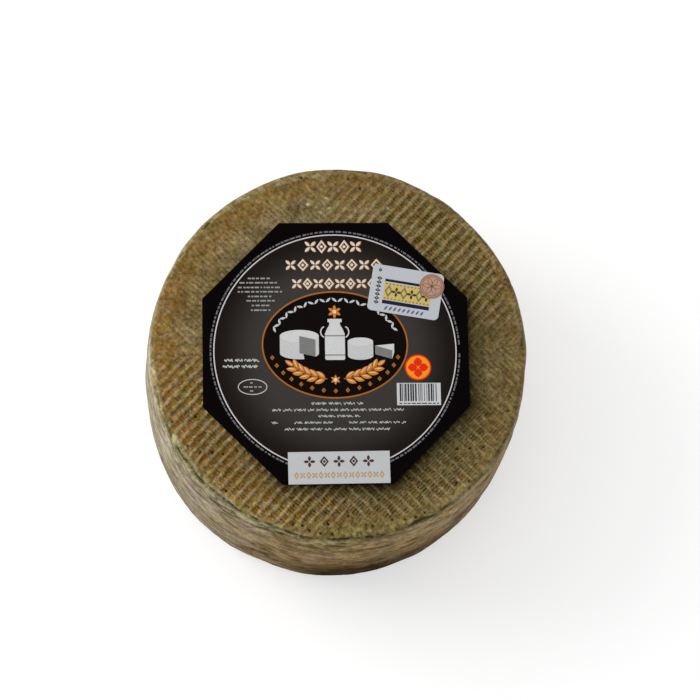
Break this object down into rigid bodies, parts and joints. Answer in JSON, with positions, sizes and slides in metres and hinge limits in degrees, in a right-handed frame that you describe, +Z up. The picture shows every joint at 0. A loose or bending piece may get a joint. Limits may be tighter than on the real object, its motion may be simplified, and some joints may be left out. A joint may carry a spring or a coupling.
{
  "type": "cheese wheel",
  "caption": "Low round wheel of aged pressed cheese, ribbed rind in chevrons on both faces, with an octagonal paper label, a paper strip, a rounded sticker and a foil seal on top.",
  "frame": {"origin": "under the middle of the wheel, on the surface it rests on", "axes": "+Z up, square to both faces; +Y is the upright direction of the label, and +X its right-hand side"},
  "size_m": [0.2052, 0.2096, 0.1009],
  "materials": {
    "rind": "dry olive-brown rind with a pressed rib pattern",
    "label_paper": "coated black paper, semi-gloss",
    "strip_paper": "white paper, satin",
    "sticker_paper": "white coated sticker, semi-gloss",
    "seal_foil": "copper-coloured foil disc, satin"
  },
  "bodies": {
    "root": {"cheese_wheel": "rind", "label": "label_paper", "label_strip": "strip_paper", "seal_sticker": "sticker_paper", "foil_seal": "seal_foil"}
  },
  "joints": []
}
